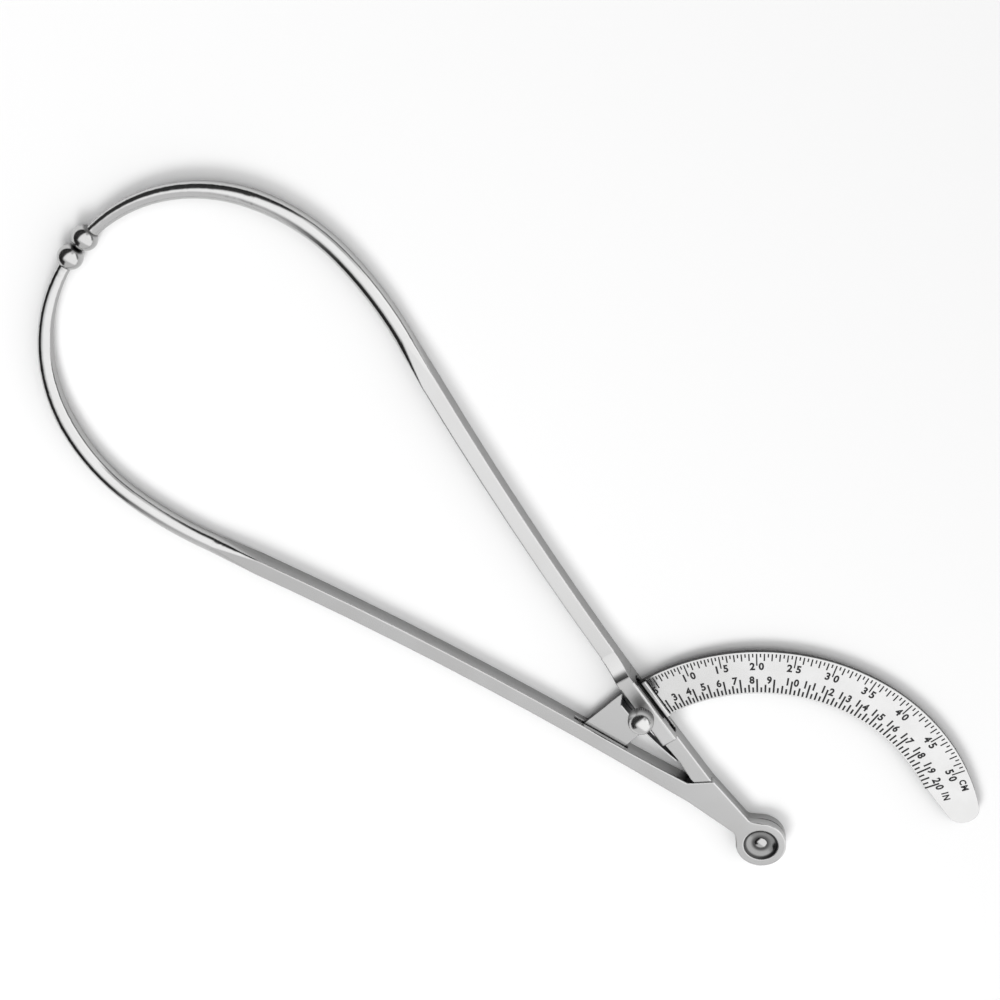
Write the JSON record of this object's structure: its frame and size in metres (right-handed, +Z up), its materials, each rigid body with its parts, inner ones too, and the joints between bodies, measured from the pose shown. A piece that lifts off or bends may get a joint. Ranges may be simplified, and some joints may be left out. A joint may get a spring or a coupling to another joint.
{
  "type": "pelvimeter",
  "caption": "Hinged measuring calliper with bowed round arms, ball tips, a graduated sector scale and a knurled screw lock.",
  "frame": {"origin": "on the hinge axis, in the plane of the table that the instrument lies on", "axes": "+Z up along the hinge axis, +X from the hinge to the closed ball tips, the arm that carries the scale on the +Y side"},
  "size_m": [0.3676, 0.1413, 0.0221],
  "materials": {
    "arm_steel": "satin polished stainless steel",
    "ball_steel": "polished",
    "scale_steel": "matt satin with black filled marks",
    "hinge_steel": "polished",
    "knob_steel": "polished dome over a knurled band",
    "screw_steel": "turned",
    "shoe_steel": "satin",
    "leaf_steel": "blued spring steel with a bright edge"
  },
  "bodies": {
    "scale_arm": {"lower_arm": "arm_steel", "lower_ball_tip": "ball_steel", "graduated_scale": "scale_steel", "hinge_pin": "hinge_steel", "hinge_washer": "hinge_steel"},
    "swing_arm": {"upper_arm": "arm_steel", "upper_ball_tip": "ball_steel", "spring_leaf": "leaf_steel", "leaf_rivets": "screw_steel"},
    "shoe": {"clamp_shoe": "shoe_steel"},
    "clamp_screw": {"lock_screw": "screw_steel", "lock_knob": "knob_steel"}
  },
  "joints": [
    {"name": "arm_hinge", "type": "hinge", "parent": "scale_arm", "child": "swing_arm", "pos_m": [0, 0, 0.00345], "axis": [0, 0, -1], "range_deg": [0, 105]},
    {"name": "shoe_press", "type": "slide", "parent": "swing_arm", "child": "shoe", "axis": [0, 0, -1], "range_m": [-0.00025, 0.000194]},
    {"name": "knob_turn", "type": "hinge", "parent": "shoe", "child": "clamp_screw", "pos_m": [0.07013, -0.0107, 0.00555], "axis": [0, 0, -1], "range_deg": [-181, 141]}
  ],
  "couplings": [
    {"joint": "knob_turn", "follows": "shoe_press", "rad_per_m": 12566}
  ]
}
